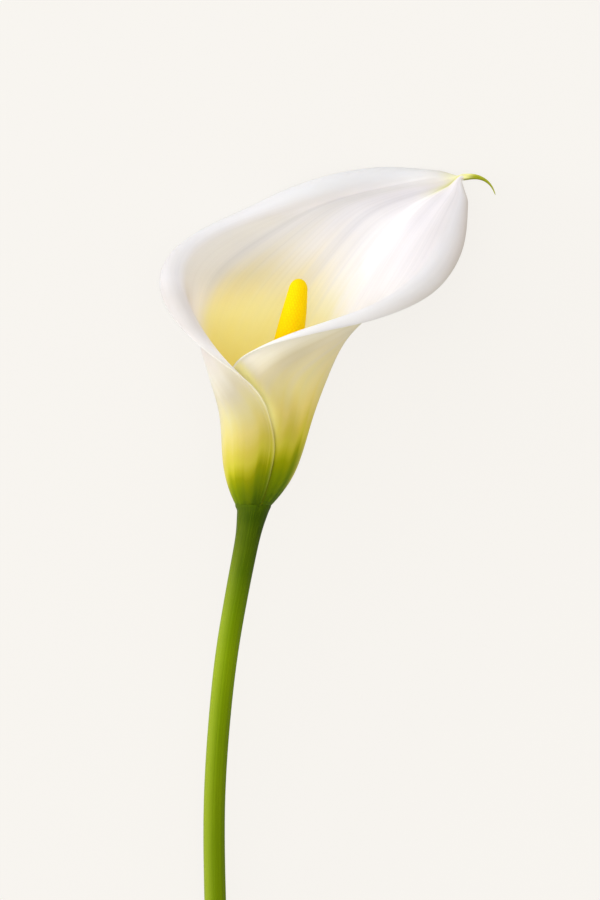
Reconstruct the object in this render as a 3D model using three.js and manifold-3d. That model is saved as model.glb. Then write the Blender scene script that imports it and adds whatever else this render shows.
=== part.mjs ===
import * as THREE from "three";
import { LoftGeometry } from "three/addons/geometries/LoftGeometry.js";
import { mergeVertices } from "three/addons/utils/BufferGeometryUtils.js";
import Module from "manifold-3d";

// A cut white calla lily, lying on its back: the stem, the spathe and the spadix.
// Millimetres. +Y runs from the cut end to the flower, +X to the side that the tip leans to, +Z up from the table.
// The origin is at the bottom centre of the whole part. The flower is modelled round its foot, where the
// spathe and the spadix grow from the stem, and the foot is placed in the part's frame once, at the end.

// Driving dimensions
const FOOT = new THREE.Vector3(-30.7, 61.7, 53.4);
const TABLE = -FOOT.z;
const SEAT_GAP = 0.3;

const STEM_LENGTH = 262;
const STEM_SIDES = 20;
const STEM_STEPS = 44;
const STEM_STEPS_CROWD = 1.6;

const LEAF_STEPS = 50;
const BLADE_STEPS = 24;
const ROLL_STEPS = 7;
const WALL = [[0, 1], [0.3, 1.1], [0.6, 0.85], [1, 0.7]];

const TAIL_SIDES = 8;
const TAIL_STEPS = 14;

const SPADIX_LENGTH = 90.5;
const SPADIX_BASE_RADIUS = 4.5;
const FLORETS_ROUND = 10;
const FLORET_ROWS = 28;
const FLORET_HEIGHT = 0.55;
const STEPS_PER_FLORET = 3;

// Natural cubic spline through rows of numbers: the returned function gives the row at any station.
function naturalSpline(stations, rows) {
  const last = stations.length - 1;
  const bends = rows.map((row) => row.map(() => 0));
  rows[0].forEach((_, column) => {
    const ratio = [0];
    const rest = [0];
    for (let i = 1; i < last; i++) {
      const before = stations[i] - stations[i - 1];
      const after = stations[i + 1] - stations[i];
      const turn =
        (rows[i + 1][column] - rows[i][column]) / after -
        (rows[i][column] - rows[i - 1][column]) / before;
      const pivot = 2 * (before + after) - before * ratio[i - 1];
      ratio.push(after / pivot);
      rest.push((6 * turn - before * rest[i - 1]) / pivot);
    }
    for (let i = last - 1; i > 0; i--)
      bends[i][column] = rest[i] - ratio[i] * bends[i + 1][column];
  });
  return (station) => {
    let i = 0;
    while (i < last - 1 && station > stations[i + 1]) i++;
    const span = stations[i + 1] - stations[i];
    const b = (station - stations[i]) / span;
    const a = 1 - b;
    return rows[i].map(
      (value, column) =>
        a * value +
        b * rows[i + 1][column] +
        (((a ** 3 - a) * bends[i][column] + (b ** 3 - b) * bends[i + 1][column]) * span ** 2) / 6,
    );
  };
}

// The funnel's centre line leans to +X as it rises, and its radius grows: [height, sideways] and [height, radius].
const LEAN = [[0, 0.8], [10, 3], [19, 4.6], [38, 6.9], [56, 7.7], [90, 8], [130, 8.5]];
const FUNNEL = [[-2, 6.4], [0, 6.5], [4, 9], [10, 12.3], [20, 15.1], [30, 17.1], [40, 19.1], [50, 22.2]];
const curveThrough = (pairs) =>
  naturalSpline(pairs.map((pair) => pair[0]), pairs.map((pair) => [pair[1]]));
const leanAt = curveThrough(LEAN);
const funnelAt = curveThrough(FUNNEL);

// The leaf's guide rows, from foot to tip. Across a row stand the inner margin, the right vein, the midrib, the left
// vein and the outer margin. Each is [azimuth in degrees, from the top over +X; distance from the centre line; height].
// Up to the notch the leaf wraps the funnel once and overlaps on top, its outer margin over its inner one.
const WRAP = [-1, -0.3, 0, 0.3, 1];
const wrapRow = (height, spread, azimuths) =>
  azimuths.map((azimuth, column) => [azimuth, funnelAt(height)[0] + spread * WRAP[column], height]);
const GUIDE_ROWS = [
  wrapRow(0, 1, [-58, 40, 137, 252, 367]),
  wrapRow(5, 1.2, [-58, 40, 137, 251, 365]),
  wrapRow(13, 1.4, [-58, 40, 137, 251, 364]),
  wrapRow(24, 1.5, [-57, 40, 137, 251, 364]),
  wrapRow(37, 1.5, [-54, 41, 137, 246, 353]),
  [[-40, 21, 51], [44, 23, 51.5], [137, 22.4, 51], [230, 24, 53], [320, 25.5, 57]],
  [[21, 31.5, 67.5], [80, 29.5, 65], [137, 29, 65], [203, 32.5, 76], [264, 35.5, 85]],
  [[58, 44, 78], [100, 41.5, 78.5], [136.5, 40.5, 82], [180, 43, 95], [210, 44.5, 106.5]],
  [[84, 57, 91.5], [108, 53.5, 94], [134, 54, 100], [158, 50, 113.5], [178, 45.3, 120]],
  [[98, 66.5, 106], [113, 64, 108], [129, 67, 116.5], [143.5, 60, 125], [150, 51.6, 128.5]],
  [[108, 75.4, 119], [116, 75, 121], [123, 78.5, 126.3], [127, 77, 130.8], [129, 74.2, 133.8]],
  [[118, 87, 131.4], [118.5, 87.1, 132], [119, 87.2, 132.6], [119.5, 87.1, 133.2], [120, 87, 133.8]],
];
const ACROSS = [-1, -0.5, 0, 0.5, 1];

// Past each margin the leaf rolls back to its outside, by row: [length, turn in degrees].
const INNER_ROLL = [
  [1.4, 8], [2, 8], [2.2, 8], [2.2, 8], [2.2, 10], [2.2, 30],
  [4.7, 150], [9.2, 165], [14, 160], [14.4, 150], [9, 120], [1.4, 60],
];
const OUTER_ROLL = [
  [1.6, 15], [2.2, 20], [3, 22], [3, 22], [3.4, 30], [8, 110],
  [13, 150], [13.8, 165], [14.2, 185], [12.8, 175], [11.5, 180], [1.2, 60],
];

// The midrib is a valley that deepens towards the tip, with a low swell on each side: [station, depth].
const VALLEY = [[0, 0], [0.4, 0], [0.55, 0.8], [0.7, 3.2], [0.85, 4], [0.95, 1.6], [1, 0.1]];
const valleyAt = curveThrough(VALLEY);
function valleyShape(t) {
  const groove = Math.exp(-(Math.abs(t / 0.17) ** 1.25));
  const rightSwell = 0.55 * Math.exp(-(((t + 0.42) / 0.24) ** 2));
  const leftSwell = 0.35 * Math.exp(-(((t - 0.42) / 0.24) ** 2));
  return groove - rightSwell - leftSwell;
}

const STATIONS = GUIDE_ROWS.map((_, row) => row / (GUIDE_ROWS.length - 1));
const wallAt = curveThrough(WALL);
const guidesAt = naturalSpline(STATIONS, GUIDE_ROWS.map((row) => row.flat()));
const innerRollAt = naturalSpline(STATIONS, INNER_ROLL);
const outerRollAt = naturalSpline(STATIONS, OUTER_ROLL);

// A line of the leaf at station s, before the valley: t runs from -1 at the inner margin to 1 at the outer one.
function plainLine(s) {
  const flat = guidesAt(s);
  const across = naturalSpline(ACROSS, ACROSS.map((_, column) => flat.slice(3 * column, 3 * column + 3)));
  return (t) => {
    const [azimuth, radius, height] = across(t);
    const turn = THREE.MathUtils.degToRad(azimuth);
    const side = leanAt(height)[0] + radius * Math.sin(turn);
    return new THREE.Vector3(side, height, radius * Math.cos(turn));
  };
}

// One section of the leaf's middle surface at station s, from the end of the inner roll to the end of the outer one.
const PROBE = 1e-3;
function leafSection(s) {
  const line = plainLine(s);
  const before = plainLine(Math.max(s - PROBE, 0));
  const after = plainLine(Math.min(s + PROBE, 1));
  const frameAt = (t) => {
    const along = after(t).sub(before(t)).normalize();
    const across = line(t + PROBE).sub(line(t - PROBE)).normalize();
    const out = across.clone().cross(along).normalize();
    return { along, across, out };
  };
  const surface = (t) => line(t).addScaledVector(frameAt(t).out, valleyAt(s)[0] * valleyShape(t));
  const roll = (margin, [length, degrees]) => {
    const { along, across, out } = frameAt(margin);
    const away = across.multiplyScalar(margin).addScaledVector(along, -across.dot(along)).normalize();
    const turn = THREE.MathUtils.degToRad(degrees);
    const radius = length / turn;
    const start = surface(margin);
    return Array.from({ length: ROLL_STEPS }, (_, i) => {
      const angle = (turn * (i + 1)) / ROLL_STEPS;
      return start
        .clone()
        .addScaledVector(away, radius * Math.sin(angle))
        .addScaledVector(out, radius * (1 - Math.cos(angle)));
    });
  };
  const blade = Array.from({ length: BLADE_STEPS + 1 }, (_, i) => surface((2 * i) / BLADE_STEPS - 1));
  return [...roll(-1, innerRollAt(s)).reverse(), ...blade, ...roll(1, outerRollAt(s))];
}

// The leaf as a solid: the middle surface moved out and in by half the wall, closed round its edge. Both faces are
// split along the same diagonals, so that the wall keeps its thickness wherever it bends.
function leafGeometry() {
  const sections = Array.from({ length: LEAF_STEPS + 1 }, (_, i) => leafSection(i / LEAF_STEPS));
  const rows = sections.length;
  const columns = sections[0].length;
  const outer = [];
  const inner = [];
  for (let i = 0; i < rows; i++) {
    const wall = wallAt(i / LEAF_STEPS)[0];
    for (let j = 0; j < columns; j++) {
      const along = sections[Math.min(i + 1, rows - 1)][j].clone().sub(sections[Math.max(i - 1, 0)][j]);
      const across = sections[i][Math.min(j + 1, columns - 1)].clone().sub(sections[i][Math.max(j - 1, 0)]);
      const out = across.cross(along).normalize();
      for (const [face, side] of [[outer, 0.5], [inner, -0.5]]) {
        const point = sections[i][j].clone().addScaledVector(out, side * wall);
        point.y = i ? Math.max(point.y, 0) : 0;
        point.z = Math.max(point.z, TABLE);
        face.push(point);
      }
    }
  }
  const count = outer.length;
  const index = [];
  const quad = (a, b, c, d) => index.push(a, b, c, a, c, d);
  for (let i = 0; i < rows - 1; i++)
    for (let j = 0; j < columns - 1; j++) {
      const a = i * columns + j;
      const b = a + 1;
      const c = b + columns;
      const d = a + columns;
      quad(a, b, c, d);
      index.push(a + count, c + count, b + count, a + count, d + count, c + count);
    }
  for (let j = 0; j < columns - 1; j++) {
    const tip = (rows - 1) * columns + j;
    quad(j + count, j + 1 + count, j + 1, j);
    quad(tip, tip + 1, tip + 1 + count, tip + count);
  }
  for (let i = 0; i < rows - 1; i++) {
    const first = i * columns;
    const last = first + columns - 1;
    quad(first + columns, first + columns + count, first + count, first);
    quad(last, last + count, last + columns + count, last + columns);
  }
  return new THREE.BufferGeometry().setFromPoints([...outer, ...inner]).setIndex(index);
}

// Round sections along a curve, each square to it: at(u) gives the radius for u from 0 to 1.
function taperedTube(curve, steps, sides, radiusAt) {
  const frames = curve.computeFrenetFrames(steps, false);
  const sections = Array.from({ length: steps + 1 }, (_, i) => {
    const centre = curve.getPointAt(i / steps);
    const radius = radiusAt(i / steps);
    return Array.from({ length: sides }, (_, j) => {
      const angle = (j / sides) * 2 * Math.PI;
      return centre
        .clone()
        .addScaledVector(frames.normals[i], radius * Math.cos(angle))
        .addScaledVector(frames.binormals[i], radius * Math.sin(angle));
    });
  });
  return new LoftGeometry(sections, { capStart: true, capEnd: true });
}

// The green tail runs on from the midrib's last stretch and curls over past the tip.
const TAIL_ROUTE = [
  [79, 131.4, -41.2], [83, 133.1, -42], [86, 133.5, -42.2], [88.9, 133.7, -42.2], [91.6, 133.5, -42.3],
  [94, 132.7, -42.6], [96.2, 131.2, -43], [97.9, 129, -43.4], [99.1, 126.2, -43.8],
];
const TAIL_RADII = [[0, 0.5], [0.2, 1.35], [0.36, 1.4], [0.55, 1.1], [0.8, 0.7], [1, 0.35]];
const tailRadiusAt = curveThrough(TAIL_RADII);
function tailGeometry() {
  const route = new THREE.CatmullRomCurve3(TAIL_ROUTE.map((point) => new THREE.Vector3(...point)));
  return taperedTube(route, TAIL_STEPS, TAIL_SIDES, (u) => tailRadiusAt(u)[0]);
}

// The stem in level slices from the cut end to the foot: [height, sideways, rise, radius].
const STEM_SLICES = [
  [-STEM_LENGTH, -11.8, TABLE + 4.3, 4.45], [-210, -13.9, -43.4, 4.4], [-160, -15.3, -34.8, 4.38],
  [-120, -15.4, -26.4, 4.32], [-86, -13.2, -19, 4.38], [-61, -10.4, -13.4, 4.52], [-36, -6.2, -7.8, 4.65],
  [-20, -3.1, -4.3, 4.8], [-9, -0.9, -1.9, 5.35], [-4, 0.1, -0.8, 6.1], [-SEAT_GAP, 0.9, 0, 7],
];
const stemAt = naturalSpline(STEM_SLICES.map((slice) => slice[0]), STEM_SLICES.map((slice) => slice.slice(1)));
function stemGeometry() {
  const sections = Array.from({ length: STEM_STEPS + 1 }, (_, i) => {
    const height = THREE.MathUtils.lerp(-STEM_LENGTH, -SEAT_GAP, 1 - (1 - i / STEM_STEPS) ** STEM_STEPS_CROWD);
    const [sideways, rise, radius] = stemAt(height);
    return Array.from({ length: STEM_SIDES }, (_, j) => {
      const angle = (j / STEM_SIDES) * 2 * Math.PI;
      const z = Math.max(rise + radius * Math.cos(angle), TABLE);
      return new THREE.Vector3(sideways + radius * Math.sin(angle), height, z);
    });
  });
  return new LoftGeometry(sections, { capStart: true, capEnd: true });
}

// The spadix: a club with a round top. Its florets stand in rows, each row turned on by one step of the one below.
const SPADIX_ROUTE = [[1, 0, 0], [4.5, 22, 0], [10.2, 48, 0], [15.9, 72, 0], [19.2, SPADIX_LENGTH, 0]];
const SPADIX_RADII = [
  [0, SPADIX_BASE_RADIUS], [0.3, 5.1], [0.6, 5.5], [0.78, 5.3], [0.88, 4.5], [0.95, 3.7],
];
const spadixRadiusAt = curveThrough(SPADIX_RADII);
const ROUND_TOP_FROM = 0.95;
function spadixRadius(u) {
  if (u <= ROUND_TOP_FROM) return spadixRadiusAt(u)[0];
  const rise = (u - ROUND_TOP_FROM) / (1 - ROUND_TOP_FROM);
  return spadixRadiusAt(ROUND_TOP_FROM)[0] * Math.sqrt(Math.max(1 - rise ** 2, 0));
}
function floretRelief(angle, u) {
  const row = u * FLORET_ROWS;
  const round = Math.cos(FLORETS_ROUND * angle - (2 * Math.PI * row) / STEPS_PER_FLORET);
  const along = Math.cos(2 * Math.PI * row);
  const fade = Math.min(1, 12 * (1 - u));
  return FLORET_HEIGHT * fade * Math.max(round, 0) * Math.max(along, 0);
}
function spadixGeometry() {
  const route = new THREE.CatmullRomCurve3(SPADIX_ROUTE.map((point) => new THREE.Vector3(...point)));
  const rows = FLORET_ROWS * STEPS_PER_FLORET;
  const sides = FLORETS_ROUND * STEPS_PER_FLORET;
  const frames = route.computeFrenetFrames(rows, false);
  const sections = Array.from({ length: rows }, (_, i) => {
    const u = i < rows - 1 ? i / rows : 0.996;
    const centre = route.getPointAt(u);
    return Array.from({ length: sides }, (_, j) => {
      const angle = (j / sides) * 2 * Math.PI;
      const radius = spadixRadius(u) + floretRelief(angle, u);
      return centre
        .clone()
        .addScaledVector(frames.normals[i], radius * Math.cos(angle))
        .addScaledVector(frames.binormals[i], radius * Math.sin(angle));
    });
  });
  const geometry = new LoftGeometry(sections, { capStart: true, capEnd: true });
  const points = geometry.getAttribute("position");
  for (let i = 0; i < points.count; i++) points.setY(i, Math.max(points.getY(i), 0));
  return geometry;
}

// Solids: shared vertices are merged first, and triangles that collapse in the merge go.
const wasm = await Module();
wasm.setup();
function toSolid(geometry) {
  const bare = new THREE.BufferGeometry();
  bare.setAttribute("position", geometry.getAttribute("position"));
  bare.setIndex(geometry.index);
  const merged = mergeVertices(bare, 1e-3);
  const corners = merged.index.array;
  const kept = [];
  for (let i = 0; i < corners.length; i += 3) {
    const [a, b, c] = corners.slice(i, i + 3);
    if (a !== b && b !== c && c !== a) kept.push(a, b, c);
  }
  const vertProperties = merged.getAttribute("position").array;
  return new wasm.Manifold(new wasm.Mesh({ numProp: 3, vertProperties, triVerts: new Uint32Array(kept) }));
}
function toGeometry(solid) {
  const mesh = solid.getMesh();
  const geometry = new THREE.BufferGeometry();
  geometry.setAttribute("position", new THREE.BufferAttribute(mesh.vertProperties, 3));
  geometry.setIndex(new THREE.BufferAttribute(mesh.triVerts, 1));
  geometry.computeVertexNormals();
  return geometry;
}

// Each organ is one mesh with its own material.
function organ(name, geometry, color, roughness) {
  const mesh = new THREE.Mesh(geometry, new THREE.MeshStandardMaterial({ color, roughness, metalness: 0 }));
  mesh.name = name;
  return mesh;
}

const flower = new THREE.Group();
flower.position.copy(FOOT);
flower.add(
  organ("stem", toGeometry(toSolid(stemGeometry())), 0x6e9110, 0.45),
  organ("spathe", toGeometry(toSolid(leafGeometry()).add(toSolid(tailGeometry()))), 0xf4f1ea, 0.5),
  organ("spadix", toGeometry(toSolid(spadixGeometry())), 0xffd200, 0.6),
);

const part = new THREE.Group();
part.add(flower);
export default part;
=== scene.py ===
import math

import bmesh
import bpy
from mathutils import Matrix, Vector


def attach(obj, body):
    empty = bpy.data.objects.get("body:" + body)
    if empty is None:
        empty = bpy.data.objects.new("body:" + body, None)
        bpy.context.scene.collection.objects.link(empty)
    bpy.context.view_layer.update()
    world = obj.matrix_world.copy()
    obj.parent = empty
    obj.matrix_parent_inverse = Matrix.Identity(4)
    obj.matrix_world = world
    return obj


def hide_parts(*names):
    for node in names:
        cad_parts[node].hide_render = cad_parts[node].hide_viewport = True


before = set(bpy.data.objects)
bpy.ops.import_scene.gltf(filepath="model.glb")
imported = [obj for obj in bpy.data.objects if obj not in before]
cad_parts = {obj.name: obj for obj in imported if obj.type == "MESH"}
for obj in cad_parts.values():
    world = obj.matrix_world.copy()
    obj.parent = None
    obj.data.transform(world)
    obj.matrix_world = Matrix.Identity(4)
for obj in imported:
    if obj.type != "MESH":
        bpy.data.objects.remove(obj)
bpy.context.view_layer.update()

# A cut white calla lily, lying on its back: the stem, the wrapped white leaf with its green tail, and the
# yellow spadix. Lengths are in millimetres round the flower's foot, where the leaf grows from the stem, as
# in the solids. +Y runs up the flower, +X to the side that its tip leans to, +Z up from the table.

MM = 0.001
FOOT = Vector((-30.7, 61.7, 53.4))
TABLE = -FOOT.z
WELD = 1e-6
ROUTE_PROBE = 0.01


def natural_spline(stations, rows):
    """A natural cubic spline through rows of numbers: the function it returns gives the row at a station."""
    last = len(stations) - 1
    bends = [[0.0] * len(rows[0]) for _ in rows]
    for column in range(len(rows[0])):
        ratio = [0.0]
        rest = [0.0]
        for i in range(1, last):
            before = stations[i] - stations[i - 1]
            after = stations[i + 1] - stations[i]
            turn = (rows[i + 1][column] - rows[i][column]) / after
            turn -= (rows[i][column] - rows[i - 1][column]) / before
            pivot = 2 * (before + after) - before * ratio[i - 1]
            ratio.append(after / pivot)
            rest.append((6 * turn - before * rest[i - 1]) / pivot)
        for i in range(last - 1, 0, -1):
            bends[i][column] = rest[i] - ratio[i] * bends[i + 1][column]

    def row_at(station):
        i = 0
        while i < last - 1 and station > stations[i + 1]:
            i += 1
        span = stations[i + 1] - stations[i]
        b = (station - stations[i]) / span
        a = 1 - b
        bend_a = (a ** 3 - a) * span ** 2 / 6
        bend_b = (b ** 3 - b) * span ** 2 / 6
        four = zip(rows[i], rows[i + 1], bends[i], bends[i + 1])
        return [a * p + b * q + bend_a * u + bend_b * v for p, q, u, v in four]

    return row_at


def curve_through(pairs):
    """A smooth curve through pairs of a station and a value."""
    row_at = natural_spline([pair[0] for pair in pairs], [[pair[1]] for pair in pairs])
    return lambda station: row_at(station)[0]


def route_through(points):
    """A smooth line through points, by its share of the way along them."""
    reach = [0.0]
    for a, b in zip(points, points[1:]):
        reach.append(reach[-1] + (Vector(b) - Vector(a)).length)
    row_at = natural_spline([r / reach[-1] for r in reach], [list(p) for p in points])
    return lambda share: Vector(row_at(share))


def smooth_step(low, high, value):
    share = min(max((value - low) / (high - low), 0.0), 1.0)
    return share * share * (3 - 2 * share)


def hump(value, centre, width):
    return math.exp(-(((value - centre) / width) ** 2))


def closed_skin(name, rings, marks=()):
    """A grid wrapped into a closed skin. rings[row][column] is (point, the numbers that the marks take)."""
    columns = len(rings[0])
    rows = len(rings) - 1
    build = bmesh.new()
    build.loops.layers.uv.new("skin")
    bmesh.ops.create_grid(build, x_segments=columns, y_segments=rows, size=1, calc_uvs=True)
    layers = [build.verts.layers.float.new(mark) for mark in marks]
    for corner in build.verts:
        column = round((corner.co.x + 1) / 2 * columns) % columns
        row = round((corner.co.y + 1) / 2 * rows)
        point, values = rings[row][column]
        corner.co = (FOOT + point) * MM
        for layer, value in zip(layers, values):
            corner[layer] = value
    bmesh.ops.remove_doubles(build, verts=build.verts, dist=WELD)
    bmesh.ops.recalc_face_normals(build, faces=build.faces)
    for face in build.faces:
        face.smooth = True
    return linked_piece(name, build)


def linked_piece(name, build):
    """The object that a finished bmesh becomes, at the origin."""
    mesh = bpy.data.meshes.new(name)
    build.to_mesh(mesh)
    build.free()
    piece = bpy.data.objects.new(name, mesh)
    bpy.context.scene.collection.objects.link(piece)
    return piece


# The white leaf
# The funnel's centre line leans to +X as it rises, and its radius grows.
lean_at = curve_through([(0, 0.8), (10, 2.8), (19, 4.1), (38, 6.3), (56, 7.3), (90, 7.9), (130, 8.5)])
funnel_at = curve_through(
    [(-2, 6.4), (0, 6.5), (4, 9), (10, 12.3), (20, 15.1), (30, 17.1), (40, 19.1), (50, 22.2)]
)

# Guide rows from foot to tip. Across a row stand the inner margin, the right vein, the midrib, the left vein
# and the outer margin, each as azimuth from the top over +X, distance from the centre line, and height.
# Where the leaf is wrapped, its margins lie a little inside and outside the funnel's radius.
WRAP = (-1, -0.3, 0, 0.3, 1)
FOOT_SPREAD = 0.8


def wrap_row(height, spread, azimuths):
    radius = funnel_at(height)
    return [(azimuth, radius + spread * share, height) for azimuth, share in zip(azimuths, WRAP)]


GUIDE_ROWS = [
    wrap_row(0, FOOT_SPREAD, (-58, 40, 137, 252, 367)),
    wrap_row(5, 0.9, (-58, 40, 137, 251, 365)),
    wrap_row(13, 1, (-58, 40, 137, 251, 364)),
    wrap_row(24, 1.1, (-57, 40, 137, 251, 364)),
    wrap_row(37, 1.2, (-54, 41, 137, 246, 353)),
    [(-40, 21, 51.8), (44, 23, 51.5), (137, 22.4, 51), (230, 24, 53), (314.5, 26.2, 56.5)],
    [(21, 31.5, 68.3), (80, 29.5, 65), (137, 29, 65), (203, 32.5, 76), (264, 34.6, 85)],
    [(58, 44, 78), (100, 41.5, 78.5), (136.5, 40.5, 82), (180, 43, 95), (212, 45.3, 108.7)],
    [(84, 57, 91.5), (108, 53.5, 94), (134, 54, 100), (158, 50, 113.5), (177.5, 45.3, 119.2)],
    [(98, 66.5, 106), (113, 64, 108), (129, 67, 116.5), (143.5, 60, 124.2), (149.4, 51.9, 126.8)],
    [(108, 75.4, 119), (116, 75, 121), (123, 78.5, 126.3), (127, 77, 130.6), (129, 74.2, 133.4)],
    [(118, 87, 131.4), (118.5, 87.1, 132), (119, 87.2, 132.6), (119.5, 87.1, 133.2), (120, 87, 133.8)],
]
ACROSS = (-1, -0.5, 0, 0.5, 1)

# Past each margin the leaf rolls back to its outside, by row: length and turn in degrees.
INNER_ROLL = [
    (1.4, 8), (2, 8), (2.2, 8), (2.2, 8), (2.2, 10), (2.2, 30),
    (4.7, 150), (9.2, 165), (14, 160), (14.4, 150), (9, 120), (1.4, 60),
]
OUTER_ROLL = [
    (1.6, 2), (2.2, 2), (3, 3), (3, 4), (2.6, 5), (9, 100),
    (13, 150), (13.8, 165), (14.2, 185), (12.8, 175), (11.5, 180), (1.2, 60),
]
STATIONS = [row / (len(GUIDE_ROWS) - 1) for row in range(len(GUIDE_ROWS))]
guides_at = natural_spline(STATIONS, [[value for guide in row for value in guide] for row in GUIDE_ROWS])
inner_roll_at = natural_spline(STATIONS, INNER_ROLL)
outer_roll_at = natural_spline(STATIONS, OUTER_ROLL)
wall_at = curve_through([(0, 1), (0.3, 1.1), (0.6, 0.85), (1, 0.7)])

# The midrib is a valley that deepens towards the tip. Across the leaf it is a narrow groove along the
# crease, with a low swell on each side: how far off the crease, how wide and how high.
valley_at = curve_through([(0, 0), (0.4, 0), (0.55, 0.8), (0.7, 3), (0.85, 3.4), (0.95, 1.4), (1, 0.1)])
crease_at = curve_through([(0, 0), (0.5, 0.02), (0.7, 0.055), (0.82, 0.11), (0.92, 0.18), (1, 0.1)])
GROOVE_WIDTH = 0.17
GROOVE_SHARPNESS = 1.25
SWELLS = ((-0.42, 0.24, 0.55), (0.42, 0.3, 0.12))


def valley_shape(s, t):
    crease = crease_at(s)
    groove = math.exp(-(abs((t - crease) / GROOVE_WIDTH) ** GROOVE_SHARPNESS))
    return groove - sum(high * hump(t, crease + off, wide) for off, wide, high in SWELLS)


# Fine lengthwise veins, as a low relief: ridges across the leaf, how they wander, and how high they stand.
VEIN_RIDGES = ((17.3, 0.4, 0.5), (29.1, 1.7, 0.3), (41.7, 2.9, 0.2))
VEIN_WANDER = 0.35 / 12
WANDER_ALONG = 5.1
WANDER_ACROSS = 2.3
vein_height_at = curve_through([(0, 0.02), (0.35, 0.02), (0.6, 0.04), (0.9, 0.04), (1, 0)])


def vein_relief(s, t):
    wander = VEIN_WANDER * math.sin(WANDER_ALONG * s + WANDER_ACROSS * t)
    return sum(share * math.sin(count * (t + wander) + turn) for count, turn, share in VEIN_RIDGES)


def plain_line(s):
    """A line across the leaf at station s, from -1 at the inner margin to 1 at the outer one."""
    flat = guides_at(s)
    across = natural_spline(ACROSS, [flat[3 * column:3 * column + 3] for column in range(len(ACROSS))])

    def point_at(t):
        azimuth, radius, height = across(t)
        turn = math.radians(azimuth)
        return Vector((lean_at(height) + radius * math.sin(turn), height, radius * math.cos(turn)))

    return point_at


# The overlap's edge down the front, as azimuth by height, and how far beside it its painted shade and glow
# reach. They fall on the layer under it, which is the part of the leaf near the inner margin.
overlap_at = curve_through([(0, 21), (5, 18.5), (13, 17), (24, 14.5), (37, 1), (57, -34.5), (85, -90)])
OVERLAP_TOP = 60
BESIDE_REACH = 3.0
UNDER_LAYER = -0.3


def beside_overlap(point, t):
    """From 1 at the overlap's edge to 0 some millimetres beside it, on the layer under it."""
    if t > UNDER_LAYER or point.y > OVERLAP_TOP:
        return 0.0
    sideways = point.x - lean_at(point.y)
    azimuth = math.degrees(math.atan2(sideways, point.z)) - overlap_at(point.y)
    distance = math.radians(azimuth) * math.hypot(sideways, point.z)
    return math.exp(-max(distance, 0.0) / BESIDE_REACH)


LEAF_ROWS = 250
BLADE_COLUMNS = 112
ROLL_COLUMNS = 16
MARGIN_STEPS = 4
FACE_COLUMNS = BLADE_COLUMNS + 1 + 2 * ROLL_COLUMNS
RING_PLACES = 2 * (FACE_COLUMNS + MARGIN_STEPS - 1)
PROBE = 1e-3
RELIEF_FULL = 0.6
ROLL_REACH = 0.25
ROLL_EASE = 0.6
ROLL_EASE_FROM = 0.5
ROLL_EASE_FULL = 0.65
ROLL_FINE = 4
MARGIN_TAPER = 0.5
TAPER_FROM = 0.8
TAPER_FULL = 1.15


def roll_path(turn, ease):
    """A roll of length 1, as (sideways, outwards). Eased, it starts flatter but is as wide and as deep."""
    fine = ROLL_COLUMNS * ROLL_FINE
    sideways = 0.0
    outwards = 0.0
    path = []
    widest = 0.0
    for step in range(1, fine + 1):
        share = (step - 0.5) / fine
        angle = turn * share * (1 - ease + ease * share)
        sideways += math.cos(angle) / fine
        outwards += math.sin(angle) / fine
        widest = max(widest, sideways)
        if step % ROLL_FINE == 0:
            path.append((sideways, outwards))
    if not ease:
        return path
    wider = math.sin(min(turn, math.pi / 2)) / turn / widest
    deeper = (1 - math.cos(turn)) / turn / outwards
    return [(sideways * wider, outwards * deeper) for sideways, outwards in path]


def leaf_section(s):
    """The leaf's middle surface at station s as (point, across), from one rolled edge to the other."""
    line = plain_line(s)
    before = plain_line(max(s - PROBE, 0))
    after = plain_line(min(s + PROBE, 1))

    def frame_at(t):
        along = (after(t) - before(t)).normalized()
        across = (line(t + PROBE) - line(t - PROBE)).normalized()
        return along, across, across.cross(along).normalized()

    def surface(t):
        lift = valley_at(s) * valley_shape(s, t) + vein_height_at(s) * vein_relief(s, t)
        return line(t) + lift * smooth_step(1, RELIEF_FULL, abs(t)) * frame_at(t)[2]

    def roll(margin, length, degrees):
        along, across, out = frame_at(margin)
        away = margin * across
        away = (away - along * away.dot(along)).normalized()
        ease = ROLL_EASE * smooth_step(ROLL_EASE_FROM, ROLL_EASE_FULL, s)
        start = surface(margin)
        rolled = []
        for step, (sideways, outwards) in enumerate(roll_path(math.radians(degrees), ease)):
            share = (step + 1) / ROLL_COLUMNS
            point = start + away * (length * sideways) + out * (length * outwards)
            rolled.append((point, margin * (1 + ROLL_REACH * share)))
        return rolled

    blade = []
    for column in range(BLADE_COLUMNS + 1):
        t = 2 * column / BLADE_COLUMNS - 1
        blade.append((surface(t), t))
    return roll(-1, *inner_roll_at(s))[::-1] + blade + roll(1, *outer_roll_at(s))


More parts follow.
